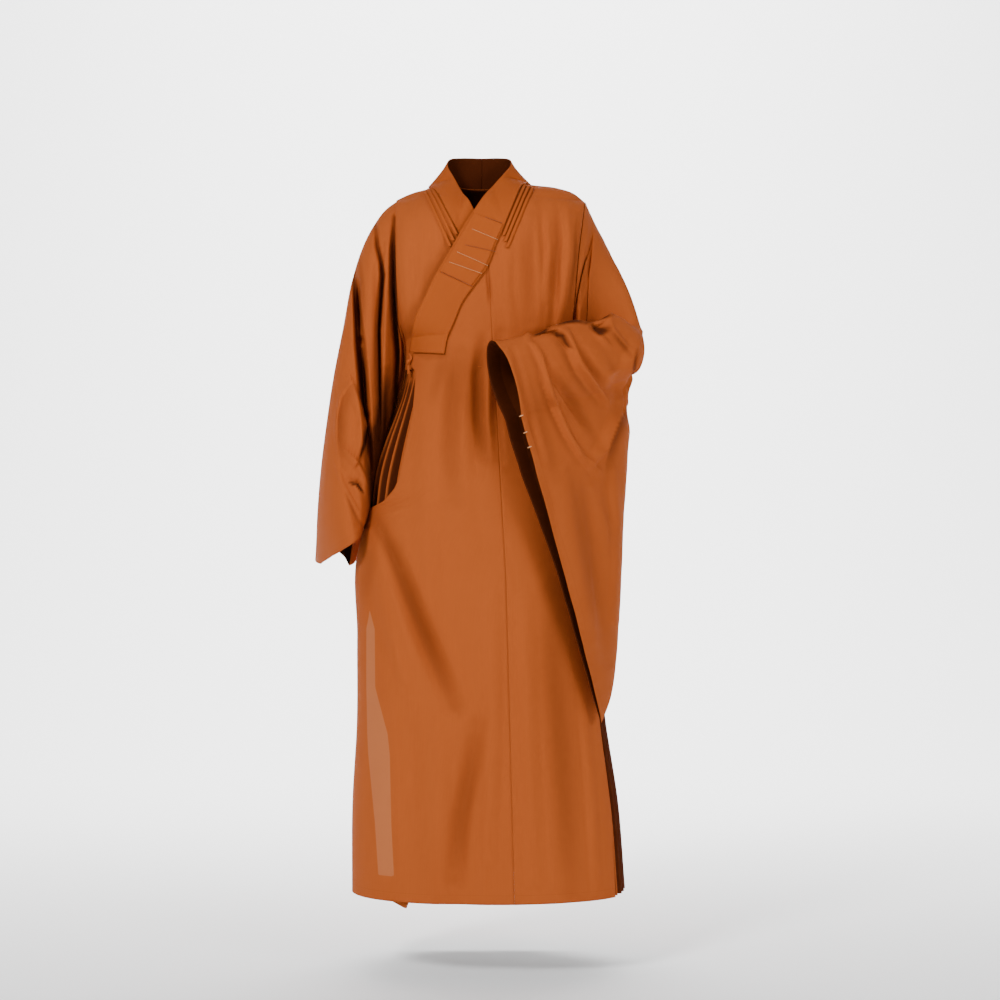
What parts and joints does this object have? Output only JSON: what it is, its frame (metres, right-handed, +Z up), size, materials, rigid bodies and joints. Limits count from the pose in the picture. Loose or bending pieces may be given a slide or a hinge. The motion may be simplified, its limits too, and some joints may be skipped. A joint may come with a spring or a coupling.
{
  "type": "monk robe",
  "caption": "Hollow worn robe with a crossed collar, wide hanging sleeves, one forearm raised, pleated sides and a side tie.",
  "frame": {"origin": "middle of the neck at the height of the shoulder line, where the robe hangs on the wearer", "axes": "+Z up, the front faces -Y, +X is the wearer's left"},
  "size_m": [0.6018, 0.4849, 1.334],
  "materials": {
    "cloth": "matte woven"
  },
  "bodies": {
    "root": {"back_left": "cloth", "back_right": "cloth", "collar_left": "cloth", "collar_patch": "cloth", "collar_right": "cloth", "front_left": "cloth", "front_left_overlap": "cloth", "front_right": "cloth", "neck_trim_left_1": "cloth", "neck_trim_left_2": "cloth", "neck_trim_left_3": "cloth", "neck_trim_right_1": "cloth", "neck_trim_right_2": "cloth", "neck_trim_right_3": "cloth", "side_pleats_left": "cloth", "side_pleats_right": "cloth", "side_tie": "cloth", "sleeve_left": "cloth", "sleeve_right": "cloth"}
  },
  "joints": []
}
